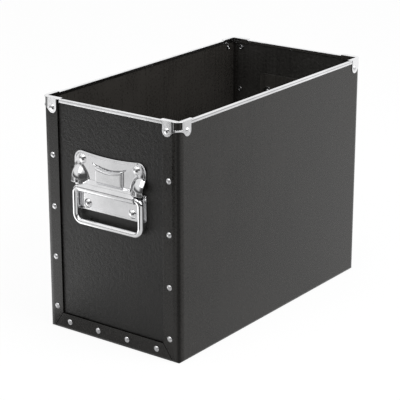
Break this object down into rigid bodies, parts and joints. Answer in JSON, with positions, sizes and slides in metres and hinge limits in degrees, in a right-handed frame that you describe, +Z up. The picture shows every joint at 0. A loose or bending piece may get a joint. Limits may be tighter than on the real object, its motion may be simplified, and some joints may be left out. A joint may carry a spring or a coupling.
{
  "type": "portable file box",
  "caption": "Tall open box of black fibreboard with bright rims, corner caps and rivets, and a swinging bail handle on a pressed plate at each narrow end.",
  "frame": {"origin": "middle of the underside, on the surface the box stands on", "axes": "+Z up, +Y along the length towards the rear handle, +X across the long sides"},
  "size_m": [0.1948, 0.3854, 0.2754],
  "materials": {
    "folded_board": "black hard fibreboard with fine streaks",
    "panel_board": "black hard fibreboard with a fine leather-like grain",
    "rim_steel": "bright rolled steel with fine lengthwise lines",
    "cap_steel": "bright plated pressing",
    "handle_steel": "bright plated pressing and rod",
    "rivet_steel": "bright plated"
  },
  "bodies": {
    "box": {"folded_body": "folded_board", "front_end_panel": "panel_board", "rear_end_panel": "panel_board", "front_rim": "rim_steel", "rear_rim": "rim_steel", "left_rim": "rim_steel", "right_rim": "rim_steel", "front_left_cap": "cap_steel", "front_right_cap": "cap_steel", "rear_left_cap": "cap_steel", "rear_right_cap": "cap_steel", "front_flange_rivets": "rivet_steel", "rear_flange_rivets": "rivet_steel", "front_cap_rivets": "rivet_steel", "rear_cap_rivets": "rivet_steel", "front_handle_plate": "handle_steel", "rear_handle_plate": "handle_steel", "front_handle_rivets": "rivet_steel", "rear_handle_rivets": "rivet_steel", "front_handle_washers": "rivet_steel", "rear_handle_washers": "rivet_steel", "front_backing_board": "panel_board", "rear_backing_board": "panel_board"},
    "front_bail": {"front_bail": "handle_steel"},
    "rear_bail": {"rear_bail": "handle_steel"}
  },
  "joints": [
    {"name": "front_bail_swing", "type": "hinge", "parent": "box", "child": "front_bail", "pos_m": [0, -0.1877, 0.1805], "axis": [-1, 0, 0], "range_deg": [0, 110]},
    {"name": "rear_bail_swing", "type": "hinge", "parent": "box", "child": "rear_bail", "pos_m": [0, 0.1877, 0.1805], "axis": [1, 0, 0], "range_deg": [0, 110]}
  ]
}
